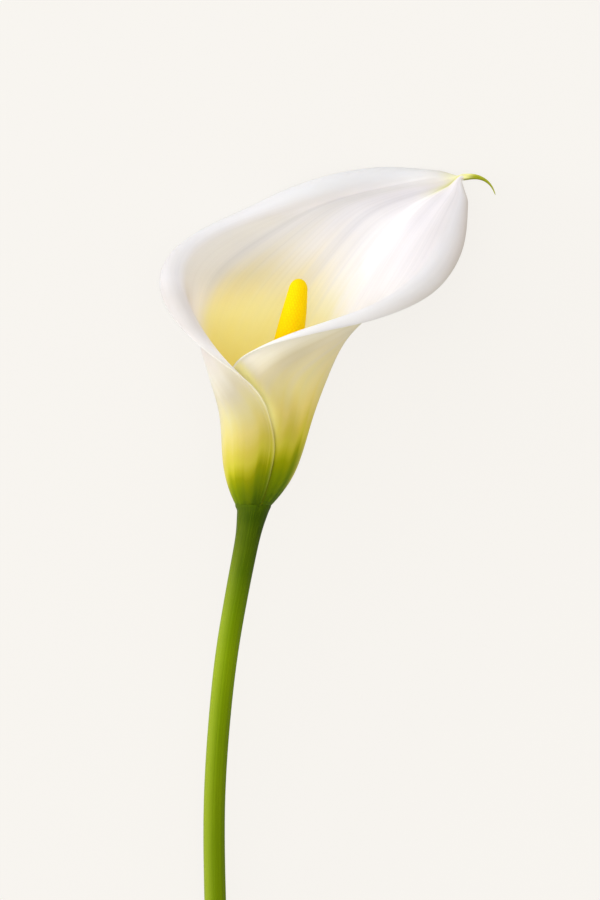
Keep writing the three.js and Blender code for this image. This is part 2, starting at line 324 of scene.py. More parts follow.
def wall_ring(sections, row):
    """The ring round a section, as (point, across, inside), and the way its middle's outside faces.

    It runs over the outer face, the outer margin, back over the inner face and round the inner margin.
    """
    here = sections[row]
    above = sections[min(row + 1, LEAF_ROWS)]
    below = sections[max(row - 1, 0)]
    last = FACE_COLUMNS - 1
    outs = []
    for column in range(FACE_COLUMNS):
        along = above[column][0] - below[column][0]
        across = here[min(column + 1, last)][0] - here[max(column - 1, 0)][0]
        outs.append(across.cross(along).normalized())
    half_wall = wall_at(row / LEAF_ROWS) / 2
    halves = [half_wall * (1 - MARGIN_TAPER * smooth_step(TAPER_FROM, TAPER_FULL, abs(t))) for _, t in here]
    outer = [(point + out * half, t, 0.0) for (point, t), out, half in zip(here, outs, halves)]
    inner = [(point - out * half, t, 1.0) for (point, t), out, half in zip(here, outs, halves)]

    def rounded_margin(column, neighbour):
        """The edge of the wall, from its outer face round to its inner one."""
        point, t = here[column]
        away = (point - here[neighbour][0]).normalized()
        rounded = []
        for step in range(1, MARGIN_STEPS):
            share = step / MARGIN_STEPS
            angle = math.pi * share
            edge = outs[column] * math.cos(angle) + away * math.sin(angle)
            rounded.append((point + edge * halves[column], t, share))
        return rounded

    ring = outer + rounded_margin(last, last - 1) + inner[::-1] + rounded_margin(0, 1)[::-1]
    return ring, outs[last // 2]


def settled(point, row):
    """A point kept above the table and the leaf's foot, which is flat: its first row lies level."""
    height = max(point.y, 0.0) if row else 0.0
    return Vector((point.x, height, max(point.z, TABLE)))


# The green tail: its route, its radius, the groove along its underside, and the stretch of both the leaf and
# the tail in which the leaf closes round it.
tail_at = route_through([
    (79, 131.4, -41.2), (83, 133.1, -42), (86, 133.5, -42.2), (88.9, 133.7, -42.2), (91.6, 133.5, -42.3),
    (94, 132.7, -42.6), (96.2, 131.2, -43), (97.9, 129, -43.4), (99.1, 126.2, -43.8),
])
tail_radius_at = curve_through([(0, 0.5), (0.2, 1.35), (0.36, 1.35), (0.55, 0.95), (0.8, 0.44), (1, 0.14)])
CLOSING = (0.95, 1.0)
CLOSING_ON_TAIL = (0.12, 0.3)
TAIL_ROWS = 34
TAIL_GROOVE = 0.42
TAIL_GROOVE_WIDTH = 0.55
TAIL_GROOVE_FULL = 0.5


def tail_ring(share, out_hint, radius):
    """A ring of points round the tail, and the way its outside faces."""
    centre = tail_at(share)
    tangent = (tail_at(min(share + ROUTE_PROBE, 1.0)) - tail_at(share - ROUTE_PROBE)).normalized()
    out = (out_hint - tangent * out_hint.dot(tangent)).normalized()
    across = tangent.cross(out).normalized()
    depth = TAIL_GROOVE * smooth_step(1, TAIL_GROOVE_FULL, share)
    ring = []
    for place in range(RING_PLACES):
        angle = 2 * math.pi * (FACE_COLUMNS + MARGIN_STEPS / 2 - 1 - place) / RING_PLACES
        groove = 1 - depth * hump(angle, -math.pi / 2, TAIL_GROOVE_WIDTH)
        ring.append(centre + (across * math.cos(angle) + out * (math.sin(angle) * groove)) * radius)
    return ring, out


def leaf_rings():
    sections = [leaf_section(row / LEAF_ROWS) for row in range(LEAF_ROWS + 1)]
    loops = [wall_ring(sections, row) for row in range(LEAF_ROWS + 1)]

    # the flat foot: the wall closes on its own middle, at the same height
    foot = []
    first_ring = loops[0][0]
    for place, (point, t, _) in enumerate(first_ring):
        mirrored = first_ring[(2 * FACE_COLUMNS + MARGIN_STEPS - 2 - place) % RING_PLACES]
        foot.append((settled((point + mirrored[0]) / 2, 0), (0.0, t, 0.5, 0.0)))
    rings = [foot]

    for row, (ring, out) in enumerate(loops):
        s = row / LEAF_ROWS
        closing = smooth_step(*CLOSING, s)
        if closing > 0:
            way_on = (s - CLOSING[0]) / (CLOSING[1] - CLOSING[0])
            share = CLOSING_ON_TAIL[0] + (CLOSING_ON_TAIL[1] - CLOSING_ON_TAIL[0]) * way_on
            closed, out_hint = tail_ring(share, out, tail_radius_at(share))
            points = [point.lerp(end, closing) for (point, _, _), end in zip(ring, closed)]
        else:
            points = [settled(point, row) for point, _, _ in ring]
        marked = []
        for point, (_, t, side) in zip(points, ring):
            marked.append((point, (s, t, side, beside_overlap(point, t) * (1 - side))))
        rings.append(marked)

    last_ring = loops[-1][0]
    for row in range(1, TAIL_ROWS + 1):
        run = row / TAIL_ROWS
        share = CLOSING_ON_TAIL[1] + (1 - CLOSING_ON_TAIL[1]) * run
        radius = tail_radius_at(share) if row < TAIL_ROWS else 0.0
        closed, out_hint = tail_ring(share, out_hint, radius)
        rings.append([(point, (1 + run, t, side, 0.0)) for point, (_, t, side) in zip(closed, last_ring)])
    return rings


spathe = closed_skin("spathe_leaf", leaf_rings(), ("along", "across", "inside", "beside"))

# The stem, in level slices from the cut end to inside the leaf's foot: height, sideways, rise, radius.
STEM_LENGTH = 262
STEM_SLICES = [
    (-STEM_LENGTH, -11.8, TABLE + 4.3, 4.45), (-210, -13.9, -43.4, 4.4), (-160, -15.3, -34.8, 4.38),
    (-120, -15.4, -26.4, 4.32), (-86, -13.2, -19, 4.38), (-61, -10.4, -13.4, 4.52),
    (-36, -6.2, -7.8, 4.65), (-20, -3.1, -4.3, 4.8), (-9, -0.9, -1.9, 5.35),
    (-4, 0.1, -0.8, 6.1), (-1.5, 0.6, -0.2, 6.6), (0, 0.8, 0, 7.1),
]
stem_at = natural_spline([row[0] for row in STEM_SLICES], [row[1:] for row in STEM_SLICES])
STEM_COLUMNS = 120
STEM_ROWS = 300
STEM_CROWD = 1.6
# Faint ridges run down it: how many, where they start round it, how high, and how they twist by height.
STEM_RIDGES = ((11, 0.5, 0.045), (23, 1.1, 0.03), (37, 2.3, 0.02))
STEM_TWIST = 0.006
# The cut face is a little hollow, in rings of these shares of its radius.
CUT_RINGS = (0.0, 0.25, 0.5, 0.75, 0.9, 0.965)
CUT_HOLLOW = 0.5
# Its top hugs the leaf's foot and sinks into it: height, and how proud of the leaf's outside it stands.
SHEATH = ((-1.6, 0.02), (-1.0, 0.02), (-0.5, 0.03), (0.0, 0.04), (0.5, 0.03), (1.0, 0.0), (1.5, -0.3))
SHEATH_FROM = -2.2
# The outside of that foot spirals out from under the overlap to the outer margin, and steps back in there.
MARGIN_AZIMUTH = 7
MARGIN_STEP = 16
SPIRAL_INNER = -0.5
SPIRAL_RISE = 1.5
# Inside the leaf's foot it ends in a plug: height and radius.
PLUG = ((2.4, 5.4), (3.0, 2.4), (3.0, 0.0))


def sheath_radius(azimuth, height):
    """How far out the outside of the leaf's foot stands."""
    past_margin = (azimuth - MARGIN_AZIMUTH) % 360
    step_back = 1 - smooth_step(0, MARGIN_STEP, past_margin)
    spiral = SPIRAL_INNER + SPIRAL_RISE * (past_margin / 360 + step_back)
    return funnel_at(height) + FOOT_SPREAD * spiral + wall_at(0) / 2


def stem_rings():
    angles = [2 * math.pi * column / STEM_COLUMNS for column in range(STEM_COLUMNS)]

    def ring_of(sideways, height, rise, radii):
        ring = []
        for angle, radius in zip(angles, radii):
            z = max(rise + radius * math.cos(angle), TABLE)
            ring.append((Vector((sideways + radius * math.sin(angle), height, z)), ()))
        return ring

    def ring_at(height, scale=1.0, sink=0.0, proud=0.0):
        sideways, rise, radius = stem_at(min(height, 0.0))
        sideways += lean_at(height) - lean_at(0) if height > 0 else 0.0
        hug = smooth_step(SHEATH_FROM, 0.0, height)
        radii = []
        for angle in angles:
            ridge = 0.0
            for count, turn, high in STEM_RIDGES:
                ridge += high * math.sin(count * angle + turn + STEM_TWIST * height)
            reach = (radius + ridge * (1 - hug)) * (1 - hug)
            if hug:
                reach += (sheath_radius(math.degrees(angle), max(height, 0.0)) + proud) * hug
            radii.append(reach * scale)
        return ring_of(sideways, height + sink, rise, radii)

    rings = [ring_at(-STEM_LENGTH, scale, CUT_HOLLOW * (1 - scale ** 4)) for scale in CUT_RINGS]
    for row in range(STEM_ROWS + 1):
        share = 1 - (1 - row / STEM_ROWS) ** STEM_CROWD
        rings.append(ring_at(-STEM_LENGTH + (STEM_LENGTH + SHEATH_FROM) * share))
    rings += [ring_at(height, proud=proud) for height, proud in SHEATH]
    for height, radius in PLUG:
        rings.append(ring_of(lean_at(height), height, 0.0, [radius] * STEM_COLUMNS))
    return rings


stem = closed_skin("stem_scape", stem_rings())

# The spadix: a club with a round top, packed with florets in rows that each stand half a floret on.
spadix_at = route_through([(1, 0, 0), (4.5, 22, 0), (10.2, 48, 0), (15.9, 72, 0), (19.2, 90.5, 0)])
spadix_radius_at = curve_through([(0, 4.5), (0.3, 5.1), (0.6, 5.5), (0.78, 5.3), (0.88, 4.5), (0.95, 3.7)])
ROUND_TOP_FROM = 0.95
SPADIX_COLUMNS = 220
SPADIX_ROWS = 420
ROWS_CROWD_FROM = 0.93
# Each floret is a low dome, its reach given in spaces between florets. Towards the top they flatten out.
FLORETS_ROUND = 22
FLORET_ROWS = 84
FLORET_REACH_ROUND = 0.62
FLORET_REACH_UP = 0.78
FLORET_HEIGHT = 0.3
FLORET_BASE = 0.35
FLORETS_FLATTEN = 14
PLAIN_DOME = 0.5


def floret_dome(angle, u):
    """How far up its own dome a point of the spadix stands, from 0 between the florets to 1 on top."""
    row = u * FLORET_ROWS
    nearest = 0.0
    for line in (math.floor(row), math.floor(row) + 1):
        spot = angle * FLORETS_ROUND / (2 * math.pi) + 0.5 * (line % 2)
        sideways = spot - round(spot)
        distance = (sideways / FLORET_REACH_ROUND) ** 2 + ((row - line) / FLORET_REACH_UP) ** 2
        nearest = max(nearest, 1 - distance)
    return math.sqrt(nearest)


def spadix_radius(u):
    """The club's radius, which closes to nothing over its round top."""
    radius = spadix_radius_at(min(u, ROUND_TOP_FROM))
    if u > ROUND_TOP_FROM:
        rise = (u - ROUND_TOP_FROM) / (1 - ROUND_TOP_FROM)
        radius *= math.sqrt(max(1 - rise ** 2, 0))
    return radius


def spadix_rings():
    rings = []
    crowded = 1 - ROWS_CROWD_FROM
    for row in range(SPADIX_ROWS + 1):
        u = row / SPADIX_ROWS
        if u >= ROWS_CROWD_FROM:
            u = ROWS_CROWD_FROM + crowded * math.sin((u - ROWS_CROWD_FROM) / crowded * math.pi / 2)
        centre = spadix_at(u)
        tangent = (spadix_at(min(u + ROUTE_PROBE, 1)) - spadix_at(max(u - ROUTE_PROBE, 0))).normalized()
        side = tangent.cross(Vector((0, 0, 1))).normalized()
        radius = 0.0 if row in (0, SPADIX_ROWS) else spadix_radius(u)
        ring = []
        for column in range(SPADIX_COLUMNS):
            angle = 2 * math.pi * column / SPADIX_COLUMNS
            dome = PLAIN_DOME
            reach = 0.0
            if radius:
                dome = floret_dome(angle, u)
                reach = radius + FLORET_HEIGHT * (dome - FLORET_BASE) * min(1, FLORETS_FLATTEN * (1 - u))
            point = centre + side * (reach * math.cos(angle))
            point.z += reach * math.sin(angle)
            point.y = max(point.y, 0.0)
            ring.append((point, (dome,)))
        rings.append(ring)
    return rings


spadix = closed_skin("spadix_club", spadix_rings(), ("dome",))


# Finishes
def plain_colour(red, green, blue):
    """A colour given from 0 to 255, as the shader reads it. A tint that brightens goes above 255."""
    def level(value):
        share = value / 255
        return share / 12.92 if share <= 0.04045 else ((share + 0.055) / 1.055) ** 2.4

    return (level(red), level(green), level(blue), 1.0)


def add(tree, kind, inputs=None, **settings):
    """A new node. Its inputs are given values, or linked to other nodes' sockets."""
    made = tree.nodes.new(kind)
    for setting, value in settings.items():
        setattr(made, setting, value)
    for socket, value in (inputs or {}).items():
        if isinstance(value, bpy.types.NodeSocket):
            tree.links.new(value, made.inputs[socket])
        else:
            made.inputs[socket].default_value = value
    return made


def calculate(tree, operation, *values):
    return add(tree, "ShaderNodeMath", dict(enumerate(values)), operation=operation).outputs[0]


def combine(tree, operation, first, *others):
    """A sum or a product of any number of values."""
    for other in others:
        first = calculate(tree, operation, first, other)
    return first


def distance_from(tree, centre, value):
    return calculate(tree, "ABSOLUTE", calculate(tree, "SUBTRACT", value, centre))


def fade(tree, value, low, high, start=0.0, end=1.0):
    inputs = {"Value": value, "From Min": low, "From Max": high, "To Min": start, "To Max": end}
    return add(tree, "ShaderNodeMapRange", inputs, interpolation_type="SMOOTHSTEP").outputs[0]


def ramp(tree, value, stops):
    made = add(tree, "ShaderNodeValToRGB", {"Fac": value})
    spots = made.color_ramp.elements
    while len(spots) < len(stops):
        spots.new(0.5)
    for spot, (place, colour) in zip(spots, stops):
        spot.position = place
        spot.color = plain_colour(*colour)
    return made.outputs["Color"]


# The colour mixer's sockets, by number: the share of the second colour, the two colours, and the result.
MIXER_INPUTS = (0, 6, 7)
MIXER_RESULT = 2


def blend_colours(tree, share, first, second, way="MIX"):
    inputs = dict(zip(MIXER_INPUTS, (share, first, second)))
    made = add(tree, "ShaderNodeMix", inputs, data_type="RGBA", blend_type=way, clamp_factor=True)
    return made.outputs[MIXER_RESULT]


def read_fades(tree, marks, fades):
    """Fades of marks: (mark, from, to, and its values there if not 0 and 1). A mark alone stays as it is."""
    return [fade(tree, marks[name], *ends) if ends else marks[name] for name, *ends in fades]


def zone(tree, marks, fades):
    """Where something shows: the product of fades of marks."""
    return combine(tree, "MULTIPLY", *read_fades(tree, marks, fades))


def tint_all(tree, marks, colour, tints):
    """A colour with a list of tints over it, each (way, tint, and the fades of where it shows)."""
    for way, tint, *fades in tints:
        colour = blend_colours(tree, zone(tree, marks, fades), colour, plain_colour(*tint), way)
    return colour


def new_group(name, inputs, outputs):
    tree = bpy.data.node_groups.new(name, "ShaderNodeTree")
    for socket, value in inputs.items():
        made = tree.interface.new_socket(socket, in_out="INPUT", socket_type="NodeSocketFloat")
        made.default_value = value
    for socket in outputs:
        tree.interface.new_socket(socket, in_out="OUTPUT", socket_type="NodeSocketFloat")
    return tree, tree.nodes.new("NodeGroupInput"), tree.nodes.new("NodeGroupOutput")


def link_sockets(tree, receiver, **values):
    """Links values to the sockets of a node, whose names are given with _ for a space."""
    for socket, value in values.items():
        tree.links.new(value, receiver.inputs[socket.replace("_", " ")])


BROAD_STREAKS = {"Scale": 0.45, "Detail": 2.0, "Roughness": 0.5}
FINE_STREAKS = {"Scale": 2.2, "Detail": 2.0, "Roughness": 0.55}
BROAD_IN_RELIEF = 0.6
FINE_IN_RELIEF = 0.4


def lengthwise_veins():
    """Fine lines that run along a leaf or a stem: a broad streak, a fine streak, and a relief of both."""
    tree, given, result = new_group(
        "lengthwise veins",
        {"Across": 0.0, "Along": 0.0, "Side": 0.0, "Count": 20.0, "Wander": 1.0},
        ("Broad", "Fine", "Relief"),
    )
    reach = calculate(tree, "MULTIPLY", given.outputs["Across"], given.outputs["Count"])
    drift = calculate(tree, "MULTIPLY", given.outputs["Along"], given.outputs["Wander"])
    where = {"X": reach, "Y": drift, "Z": given.outputs["Side"]}
    place = add(tree, "ShaderNodeCombineXYZ", where).outputs[0]
    broad = add(tree, "ShaderNodeTexNoise", {"Vector": place, **BROAD_STREAKS}).outputs["Fac"]
    fine = add(tree, "ShaderNodeTexNoise", {"Vector": place, **FINE_STREAKS}).outputs["Fac"]
    broad_part = calculate(tree, "MULTIPLY", broad, BROAD_IN_RELIEF)
    relief = calculate(tree, "MULTIPLY_ADD", fine, FINE_IN_RELIEF, broad_part)
    link_sockets(tree, result, Broad=broad, Fine=fine, Relief=relief)
    return tree


def skin_cells():
    """The grain of plant skin: tiny cells that catch the light, and a slow change from place to place."""
    tree, given, result = new_group("skin cells", {"Cell": 1500.0, "Patch": 60.0}, ("Grain", "Patches"))
    where = add(tree, "ShaderNodeTexCoord").outputs["Object"]
    cell = {"Vector": where, "Scale": given.outputs["Cell"]}
    grain = add(tree, "ShaderNodeTexVoronoi", cell, feature="SMOOTH_F1").outputs["Distance"]
    patch = {"Vector": where, "Scale": given.outputs["Patch"], "Detail": 3.0}
    patches = add(tree, "ShaderNodeTexNoise", patch).outputs["Fac"]
    link_sockets(tree, result, Grain=grain, Patches=patches)
    return tree


VEINS = lengthwise_veins()
CELLS = skin_cells()


def use_group(tree, group, inputs):
    return add(tree, "ShaderNodeGroup", inputs, node_tree=group).outputs


def new_finish(name, **sockets):
    finish = bpy.data.materials.new(name)
    finish.use_nodes = True
    tree = finish.node_tree
    tree.nodes.clear()
    shader = tree.nodes.new("ShaderNodeBsdfPrincipled")
    for socket, value in sockets.items():
        shader.inputs[socket.replace("_", " ")].default_value = value
    add(tree, "ShaderNodeOutputMaterial", {"Surface": shader.outputs[0]})
    return finish, tree, shader


def read_marks(tree, names):
    return {name: add(tree, "ShaderNodeAttribute", attribute_name=name).outputs["Fac"] for name in names}


def height_up_the_flower(tree):
    """Millimetres above the flower's foot, and millimetres to the side of it."""
    where = add(tree, "ShaderNodeTexCoord").outputs["Object"]
    split = add(tree, "ShaderNodeSeparateXYZ", {"Vector": where}).outputs
    height = calculate(tree, "MULTIPLY_ADD", split["Y"], 1 / MM, -FOOT.y)
    aside = calculate(tree, "MULTIPLY_ADD", split["X"], 1 / MM, -FOOT.x)
    return height, aside


def bump(tree, relief, depth, strength):
    inputs = {"Height": relief, "Distance": depth, "Strength": strength}
    return add(tree, "ShaderNodeBump", inputs).outputs[0]


# The white leaf's finish
# The outside goes from green at the foot through yellow to white, over this many millimetres; a greyer band
# below the white is painted shade, as under the rim. The colours stand higher to the right, by a share of
# the way, which is painted shade on the side away from the lamps, and lower by some millimetres: everywhere,
# between the broad streaks, and on the left of the flap, where it is painted light on the lit side.
OUTSIDE_REACH = 80
COLOURS_RISE = 0.45
COLOURS_LOWERED = 1.5
LOWERED_BETWEEN_STREAKS = (("broad", 0.3, 0.7, 2.5, -2.5),)
LOWERED_ON_FLAP = (("aside", -3, -14, -0.7, 2.6), ("across", 0, 0.5))
OUTSIDE_COLOURS = (
    (0.0, (72, 96, 0)), (0.035, (90, 114, 0)), (0.115, (124, 140, 0)), (0.17, (150, 156, 0)),
    (0.21, (184, 180, 32)), (0.25, (204, 196, 64)), (0.31, (213, 198, 84)), (0.4, (227, 210, 126)),
    (0.5, (225, 214, 154)), (0.64, (218, 210, 182)), (0.78, (234, 231, 214)), (1.0, (246, 241, 240)),
)
# The inside is yellow in the throat and white above, from this height over this many millimetres. It is
# whiter towards the margins, to the right and on the broad streaks, as if it were some millimetres higher.
THROAT_FROM = 50
THROAT_REACH = 80
THROAT_WHITER = (("edge", 0.6, 1, 0, 30), ("across", 0.35, -0.4, 0, 40), ("broad", 0.3, 0.7, -3, 3))
INSIDE_COLOURS = (
    (0.0, (255, 224, 124)), (0.14, (255, 226, 138)), (0.28, (254, 227, 150)), (0.4, (253, 230, 164)),
    (0.52, (252, 235, 192)), (0.6, (252, 239, 214)), (0.68, (252, 243, 230)), (0.82, (252, 246, 244)),
    (0.95, (252, 247, 248)),
)
# The margins are white, in a band that is wider low down, most of all on the right. Down in the tube the
# inside has the outside's colours.
MARGIN_WHITE = plain_colour(252, 247, 249)
MARGIN_BAND = (0.68, 1.02)
MARGIN_WIDER = (("height", 85, 65, 0, 0.2), ("across", 0.3, -0.3, 0.3, 1))
DOWN_THE_TUBE = (("height", 56, 38),)
# The tail's colours start on the crease's end and go all round past the tip.
TAIL_COLOURS = (
    (0.0, (230, 228, 166)), (0.25, (238, 236, 152)), (0.6, (184, 188, 54)), (1.0, (170, 176, 48)),
)
TAIL_ON_CREASE = (("along", 0.94, 0.995), ("across", -0.5, 0.1))
TAIL_PAST_TIP = (("along", 0.98, 1.03),)
DOWN_THE_TAIL = (("along", 0.985, 1.5),)

# Lines that tints lie along, by across: down the front's middle, down the right, and down the tip's crease.
# The front's middle line leans, by so much a millimetre of height.
FRONT_MIDDLE = -0.3
FRONT_MIDDLE_LEAN = -0.0079
FAR_RIGHT = -0.24
TIP_CREASE = 0.15

# Tints: how each works, its colour, and where it shows, as fades of the marks.
OUTSIDE_TINTS = (
    # the flap's far side is darker, as painted shade where it curves away; the front under it lighter, as
    # painted light; and its middle darker, as painted shade
    ("MULTIPLY", (233, 231, 232), ("across", 0.72, 0.9)),
    ("MULTIPLY", (264, 260, 258), ("across", -0.52, -0.44), ("across", 0.1, -0.1), ("height", 18, 30)),
    ("MULTIPLY", (239, 239, 235), ("off_middle", 0.14, 0.02), ("height", 18, 28), ("height", 70, 60)),
    # low down, the right side is yellower
    ("MIX", (214, 204, 84), ("off_right", 0.14, 0.02), ("height", 4, 12, 0, 0.8), ("height", 32, 22)),
)
OPEN_PART = (("height", 60, 100), ("edge", 0.75, 1.05, 1, 0.4))
BACK_HOLLOW = (("inside",), ("across", 1.05, 0.65), ("height", 76, 95))
RIGHT_LOBE = (("inside",), ("across", 0.05, -0.3), ("across", -1.2, -1), ("height", 70, 100))
LEAF_TINTS = (
    # faint grey streaks, broad and fine
    ("MULTIPLY", (238, 239, 240), ("broad", 0.42, 0.68, 0, 0.6), *OPEN_PART),
    ("MULTIPLY", (236, 235, 235), ("fine", 0.4, 0.7, 0, 0.25), *OPEN_PART),
    # the hollow of the back is darker, as painted shade, and more so towards the left
    ("MULTIPLY", (235, 237, 240), ("across", 0.1, 0.35), *BACK_HOLLOW),
    ("MULTIPLY", (241, 242, 238), ("across", 0.38, 0.6), *BACK_HOLLOW),
    # the upper left wall, the left rim's roll, and the lower end of that rim are darker too, as painted
    # shade
    ("MULTIPLY", (241, 240, 228), ("across", 0.66, 0.9), ("across", 1.1, 0.95), ("along", 0.8, 0.68),
     ("height", 74, 94)),
    ("MULTIPLY", (234, 233, 231), ("across", 1.02, 1.12), ("height", 112, 96), ("height", 60, 72)),
    ("MULTIPLY", (237, 236, 232), ("across", 0.8, 0.96), ("height", 92, 82), ("height", 56, 66)),
    # the right lobe, its far side, and its rim's roll, low down and higher up, are darker too, as painted
    # shade
    ("MULTIPLY", (234, 234, 238), *RIGHT_LOBE),
    ("MULTIPLY", (232, 232, 230), ("across", -0.4, -0.95), ("height", 88, 114), *RIGHT_LOBE),
    ("MULTIPLY", (230, 223, 213), ("across", -1.1, -1.25), ("height", 66, 84)),
    ("MULTIPLY", (243, 240, 238), ("across", -1.08, -1.2), ("height", 86, 98)),
    # the middle near the tip is darker too, as painted shade; the back rim is white, and a little brighter
    # than the other margins as painted light
    ("MULTIPLY", (241, 241, 242), ("along", 0.78, 0.86), ("along", 0.97, 0.92), ("edge", 0.6, 0.3)),
    ("MIX", (255, 254, 254), ("inside",), ("across", 0.7, 0.95), ("along", 0.7, 0.8)),
    # beside the overlap the layer below has a yellow glow of painted light, and low down in the crevice a
    # dark painted shadow
    ("MIX", (255, 248, 168), ("beside", 0.1, 0.95, 0, 0.85), ("height", 20, 42)),
    ("MIX", (96, 92, 0), ("beside", 0.62, 1, 0, 0.7), ("height", 40, 16)),
)
# The lip of the overlap has the outside's colour, with a paler painted highlight along it higher up.
LIP = (("edge", 1.17, 1.25), ("height", 72, 58))
LIP_TINTS = (
    ("MIX", (246, 240, 214), ("height", 0, 60, 0, 0.25)),
)
# The tip is beige, and a green line runs down its crease from the tail. The tail is darker on its outside
# and below, as painted shade.
TIP_TINTS = (
    ("MIX", (219, 213, 202), ("across", -0.5, 0.15), ("along", 0.88, 0.97)),
    ("MIX", (206, 206, 132), ("off_crease", 0.2, 0), ("along", 0.86, 0.985)),
)
TAIL_TINTS = (
    ("MIX", (124, 130, 14), ("on_tail",), ("inside", 1, 0, 0, 0.8)),
    ("MIX", (122, 130, 10), ("along", 1.02, 1.2, 0, 0.5), ("across", 0.25, -0.7)),
)
# The relief that the light shows, in metres, and the share of the skin's grain in it.
RELIEF_DEPTH = 0.0002
GRAIN_IN_LEAF = 0.12
PATCHES_SEEN = (0.3, 0.7)
LEAF_ROUGHNESS = (0.36, 0.5)


def outside_colour(tree, marks):
    streaks = zone(tree, marks, LOWERED_BETWEEN_STREAKS)
    # the flap's lit left is whiter, as painted light
    flap = zone(tree, marks, LOWERED_ON_FLAP)
    lowered = combine(tree, "ADD", marks["height"], streaks, flap, COLOURS_LOWERED)
    # the colours tilt to the right as painted shade, on the side away from the lamps
    tilted = calculate(tree, "MULTIPLY_ADD", marks["aside"], -COLOURS_RISE, lowered)
    place = calculate(tree, "DIVIDE", tilted, OUTSIDE_REACH)
    return tint_all(tree, marks, ramp(tree, place, OUTSIDE_COLOURS), OUTSIDE_TINTS)


def inside_colour(tree, marks, outside):
    above_throat = calculate(tree, "SUBTRACT", marks["height"], THROAT_FROM)
    whiter = combine(tree, "ADD", above_throat, *read_fades(tree, marks, THROAT_WHITER))
    colour = ramp(tree, calculate(tree, "DIVIDE", whiter, THROAT_REACH), INSIDE_COLOURS)
    margins = calculate(tree, "ADD", marks["edge"], zone(tree, marks, MARGIN_WIDER))
    colour = blend_colours(tree, fade(tree, margins, *MARGIN_BAND), colour, MARGIN_WHITE)
    return blend_colours(tree, zone(tree, marks, DOWN_THE_TUBE), colour, outside)


def white_leaf_finish():
    finish, tree, shader = new_finish(
        "waxy white leaf", Subsurface_Weight=0.85, Subsurface_Scale=0.003,
        Subsurface_Radius=(1.0, 0.93, 0.84), Specular_IOR_Level=0.06, IOR=1.4,
    )
    marks = read_marks(tree, ("along", "across", "inside", "beside"))
    marks["height"], marks["aside"] = height_up_the_flower(tree)
    lines = {"Across": marks["across"], "Along": marks["along"], "Side": marks["inside"]}
    veins = use_group(tree, VEINS, {**lines, "Count": 26.0, "Wander": 1.6})
    cells = use_group(tree, CELLS, {"Cell": 1800.0, "Patch": 45.0})
    marks["broad"] = veins["Broad"]
    marks["fine"] = veins["Fine"]
    marks["edge"] = calculate(tree, "ABSOLUTE", marks["across"])
    front_middle = calculate(tree, "MULTIPLY_ADD", marks["height"], FRONT_MIDDLE_LEAN, FRONT_MIDDLE)
    marks["off_middle"] = distance_from(tree, front_middle, marks["across"])
    marks["off_right"] = distance_from(tree, FAR_RIGHT, marks["across"])
    marks["off_crease"] = distance_from(tree, TIP_CREASE, marks["across"])

    outside = outside_colour(tree, marks)
    colour = blend_colours(tree, marks["inside"], outside, inside_colour(tree, marks, outside))
    colour = tint_all(tree, marks, colour, LEAF_TINTS)
    colour = blend_colours(tree, zone(tree, marks, LIP), colour, tint_all(tree, marks, outside, LIP_TINTS))
    colour = tint_all(tree, marks, colour, TIP_TINTS)
    on_crease = zone(tree, marks, TAIL_ON_CREASE)
    marks["on_tail"] = calculate(tree, "MAXIMUM", on_crease, zone(tree, marks, TAIL_PAST_TIP))
    tail = ramp(tree, zone(tree, marks, DOWN_THE_TAIL), TAIL_COLOURS)
    colour = blend_colours(tree, marks["on_tail"], colour, tail)
    colour = tint_all(tree, marks, colour, TAIL_TINTS)

    relief = calculate(tree, "MULTIPLY_ADD", cells["Grain"], GRAIN_IN_LEAF, veins["Relief"])
    normal = bump(tree, relief, RELIEF_DEPTH, strength=0.12)
    rough = fade(tree, cells["Patches"], *PATCHES_SEEN, *LEAF_ROUGHNESS)
    link_sockets(tree, shader, Base_Color=colour, Roughness=rough, Normal=normal)
    return finish


# The green stem's finish
# The colours from the cut end up to the leaf, darker just under the flower as painted shade, and where
# round the stem the side lies that takes the painted light.
STEM_COLOURS = (
    (0.0, (114, 137, 0)), (0.54, (106, 131, 0)), (0.77, (120, 146, 0)), (0.83, (106, 133, 0)),
    (0.893, (78, 104, 0)), (0.947, (60, 84, 0)), (0.985, (56, 80, 0)), (1.0, (68, 92, 0)),
)
LIT_SIDE = 0.8
STEM_TINTS = (
    # darker and lighter streaks along the veins, and a slow mottling
    ("MULTIPLY", (190, 200, 120), ("broad", 0.35, 0.75, 0, 0.3)),
    ("MIX", (150, 172, 20), ("fine", 0.45, 0.8, 0, 0.15)),
    ("MIX", (150, 166, 10), ("patches", 0.4, 0.75, 0, 0.12)),
    # the lit side is lighter, as painted light and highlight, and the far one darker, as painted shade
    ("MIX", (180, 198, 64), ("off_lit_side", 0.22, 0, 0, 0.45), ("height", -2, -50, 0.2, 1)),
    ("MULTIPLY", (222, 222, 200), ("off_lit_side", 0.2, 0.45, 0, 0.6)),
)
# The cut face is pale and spongy: the colours from the middle of a pore to the walls between pores.
PORES = 1500.0
FLESH_COLOURS = ((0.0, (120, 140, 60)), (0.35, (198, 210, 140)), (1.0, (226, 232, 186)))
CUT_FROM = 0.55
CUT_FULL = 0.02
PORES_IN_CUT = 0.9
GRAIN_IN_STEM = 0.1
STEM_ROUGHNESS = (0.3, 0.44)


